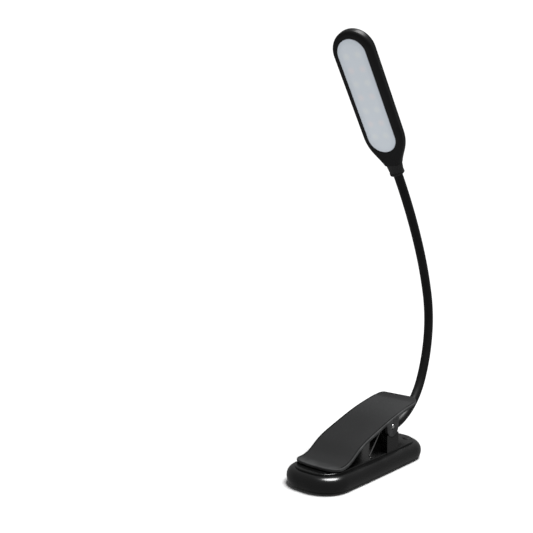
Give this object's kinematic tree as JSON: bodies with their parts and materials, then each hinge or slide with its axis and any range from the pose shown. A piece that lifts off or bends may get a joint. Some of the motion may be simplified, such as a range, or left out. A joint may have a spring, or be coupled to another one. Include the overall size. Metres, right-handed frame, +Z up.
{
  "type": "clip on reading lamp",
  "caption": "Clip-on reading lamp: sprung clip lever on a flat pebble base, a slim bendable neck and a flat paddle head with a milky diffuser.",
  "frame": {"origin": "centre of the underside, on the table", "axes": "+X towards the press end of the clip and the neck root, +Y across, +Z up"},
  "size_m": [0.1396, 0.0414, 0.2628],
  "materials": {
    "base_black": "semi-gloss moulded plastic",
    "cover_black": "satin moulded plastic",
    "pad_rubber": "matt",
    "screw_steel": "black screws",
    "jaw_rubber": "fine ribs",
    "cell_foil": "satin foil",
    "foam_pad": "open foam",
    "board_green": "solder mask",
    "chip_black": "moulded",
    "switch_body": "moulded",
    "socket_steel": "satin",
    "clear_pipe": "clear",
    "lead_wire": "insulated",
    "button_black": "satin",
    "lever_charcoal": "fine matt texture",
    "pin_chrome": "bright",
    "spring_steel": "drawn wire",
    "ferrule_black": "satin",
    "neck_black": "smooth satin sleeve",
    "core_steel": "drawn wire",
    "head_black": "satin gloss moulded plastic",
    "collar_black": "satin",
    "diffuser_milk": "milky diffuser, unlit",
    "board_white": "white solder mask",
    "led_cool": "unlit phosphor",
    "led_warm": "unlit phosphor",
    "reflector_white": "white film"
  },
  "bodies": {
    "base": {"base_upper_shell": "base_black", "base_bottom_cover": "cover_black", "foot_pad": "pad_rubber", "cover_screws": "screw_steel", "lower_jaw_pad": "jaw_rubber", "battery_cell": "cell_foil", "battery_foam_pad": "foam_pad", "control_board": "board_green", "board_chips": "chip_black", "button_switches": "switch_body", "charge_socket": "socket_steel", "indicator_light_pipe": "clear_pipe", "battery_leads": "lead_wire", "hinge_pin": "pin_chrome", "torsion_spring": "spring_steel", "neck_root_ferrule": "ferrule_black", "neck_sleeve_0": "neck_black", "neck_core_0": "core_steel", "neck_leads_0": "lead_wire"},
    "lever": {"clip_lever": "lever_charcoal", "upper_jaw_pad": "jaw_rubber"},
    "brightness_button": {"brightness_button": "button_black"},
    "colour_button": {"colour_button": "button_black"},
    "neck_1": {"neck_sleeve_1": "neck_black", "neck_core_1": "core_steel", "neck_leads_1": "lead_wire"},
    "neck_2": {"neck_sleeve_2": "neck_black", "neck_core_2": "core_steel", "neck_leads_2": "lead_wire"},
    "neck_3": {"neck_sleeve_3": "neck_black", "neck_core_3": "core_steel", "neck_leads_3": "lead_wire"},
    "neck_4": {"neck_sleeve_4": "neck_black", "neck_core_4": "core_steel", "neck_leads_4": "lead_wire"},
    "neck_5": {"neck_sleeve_5": "neck_black", "neck_core_5": "core_steel", "neck_leads_5": "lead_wire"},
    "head": {"neck_sleeve_6": "neck_black", "neck_core_6": "core_steel", "neck_leads_6": "lead_wire", "head_collar": "collar_black", "head_rear_shell": "head_black", "head_front_frame": "head_black", "diffuser": "diffuser_milk", "led_board": "board_white", "white_leds": "led_cool", "amber_leds": "led_warm", "reflector_sheet": "reflector_white"}
  },
  "joints": [
    {"name": "lever_hinge", "type": "hinge", "parent": "base", "child": "lever", "pos_m": [0.015, 0, 0.026], "axis": [0, 1, 0], "range_deg": [0, 20], "stiffness_Nm_per_rad": 0.6, "springref_deg": -28.65, "deforming": ["torsion_spring"]},
    {"name": "brightness_button_press", "type": "slide", "parent": "base", "child": "brightness_button", "axis": [0, 0, -1], "range_m": [0, 0.0004], "stiffness_N_per_m": 400, "springref_m": -0.0004},
    {"name": "colour_button_press", "type": "slide", "parent": "base", "child": "colour_button", "axis": [0, 0, -1], "range_m": [0, 0.0004], "stiffness_N_per_m": 400, "springref_m": -0.0004},
    {"name": "neck_bend_1", "type": "hinge", "parent": "base", "child": "neck_1", "pos_m": [0.05315, 0, 0.02238], "axis": [0, 1, 0], "range_deg": [-25, 30]},
    {"name": "neck_sway_2", "type": "hinge", "parent": "neck_1", "child": "neck_2", "pos_m": [0.07397, 0, 0.04324], "axis": [-0.8965, 0, 0.4431], "range_deg": [-25, 25]},
    {"name": "neck_bend_3", "type": "hinge", "parent": "neck_2", "child": "neck_3", "pos_m": [0.08252, 0, 0.07184], "axis": [0, 1, 0], "range_deg": [-25, 30]},
    {"name": "neck_sway_4", "type": "hinge", "parent": "neck_3", "child": "neck_4", "pos_m": [0.08052, 0, 0.1016], "axis": [-0.9673, 0, -0.2538], "range_deg": [-25, 25]},
    {"name": "neck_bend_5", "type": "hinge", "parent": "neck_4", "child": "neck_5", "pos_m": [0.07067, 0, 0.1299], "axis": [0, 1, 0], "range_deg": [-25, 30]},
    {"name": "neck_sway_6", "type": "hinge", "parent": "neck_5", "child": "head", "pos_m": [0.05722, 0, 0.1567], "axis": [-0.8695, 0, -0.4939], "range_deg": [-25, 25]}
  ]
}
